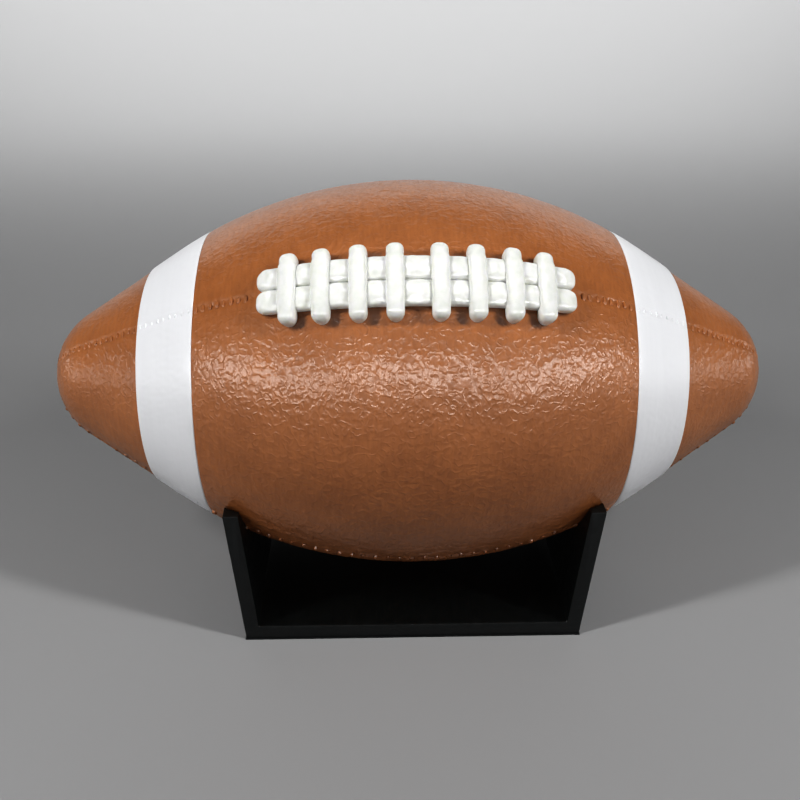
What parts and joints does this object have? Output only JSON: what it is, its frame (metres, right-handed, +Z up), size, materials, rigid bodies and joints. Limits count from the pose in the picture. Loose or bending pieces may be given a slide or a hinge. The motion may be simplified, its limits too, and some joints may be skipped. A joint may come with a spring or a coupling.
{
  "type": "display football on cradle stand",
  "caption": "Hollow printed display football with stripe rings, raised laces and pull-off end caps, resting in a black cradle stand.",
  "frame": {"origin": "on the surface the stand rests on, under the middle of the ball", "axes": "+X along the ball's long axis, to the viewer's right; -Y towards the front, where the laces are; +Z up"},
  "size_m": [0.2816, 0.152, 0.163],
  "materials": {
    "brown_plastic": "printed, pebbled leather grain, satin",
    "white_plastic": "printed, faint grain, satin",
    "lace_plastic": "pearly, smooth",
    "black_plastic": "printed, fine layer lines, satin"
  },
  "bodies": {
    "stand": {"stand": "black_plastic"},
    "ball": {"centre_shell": "brown_plastic", "stripe_ring_left": "white_plastic", "stripe_ring_right": "white_plastic", "lace_strand_upper": "lace_plastic", "lace_strand_lower": "lace_plastic", "lace_bar_1": "lace_plastic", "lace_bar_2": "lace_plastic", "lace_bar_3": "lace_plastic", "lace_bar_4": "lace_plastic", "lace_bar_5": "lace_plastic", "lace_bar_6": "lace_plastic", "lace_bar_7": "lace_plastic", "lace_bar_8": "lace_plastic"},
    "left_cap": {"end_cap_left": "brown_plastic"},
    "right_cap": {"end_cap_right": "brown_plastic"}
  },
  "joints": [
    {"name": "ball_lift", "type": "slide", "parent": "stand", "child": "ball", "axis": [0, 0, 1], "range_m": [0, 0.07]},
    {"name": "left_cap_pull", "type": "slide", "parent": "ball", "child": "left_cap", "axis": [-1, 0, 0], "range_m": [0, 0.04]},
    {"name": "right_cap_pull", "type": "slide", "parent": "ball", "child": "right_cap", "axis": [1, 0, 0], "range_m": [0, 0.04]}
  ]
}
